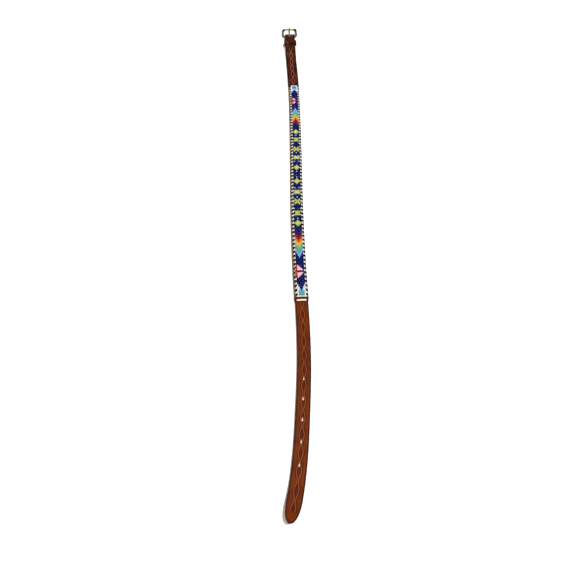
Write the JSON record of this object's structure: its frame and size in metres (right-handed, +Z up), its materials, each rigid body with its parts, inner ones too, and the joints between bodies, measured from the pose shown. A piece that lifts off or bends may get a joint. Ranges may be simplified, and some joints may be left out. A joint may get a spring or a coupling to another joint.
{
  "type": "beaded belt",
  "caption": "Narrow leather belt with tooled ends, a loomed seed-bead panel, a heel-bar buckle with a prong and a leather keeper loop, laid flat.",
  "frame": {"origin": "on the surface that the belt lies on, under the middle of its bounding box", "axes": "+Z up from the surface; +Y along the belt towards the buckle, whose bar lies along X; +X to the right seen from the tip"},
  "size_m": [0.0486, 0.9242, 0.0084],
  "materials": {
    "tooled_leather": "reddish brown tooled cowhide, dark dyed edges, worn satin",
    "glass_beads": "opaque glossy glass seed beads, mostly navy with bright bands",
    "white_thread": "white cotton warp threads",
    "buckle_metal": "pale gold-toned plate, polished, a little worn"
  },
  "bodies": {
    "strap": {"strap": "tooled_leather", "bead_panel": "glass_beads", "thread_bar": "white_thread", "keeper_loop": "tooled_leather"},
    "buckle": {"buckle_frame": "buckle_metal"},
    "prong": {"buckle_prong": "buckle_metal"}
  },
  "joints": [
    {"name": "buckle_swing", "type": "hinge", "parent": "strap", "child": "buckle", "pos_m": [0.00988, 0.43182, 0.00335], "axis": [1, 0, 0], "range_deg": [0, 55]},
    {"name": "prong_swing", "type": "hinge", "parent": "buckle", "child": "prong", "pos_m": [0.00988, 0.43182, 0.00335], "axis": [1, 0, 0], "range_deg": [0, 90]}
  ]
}
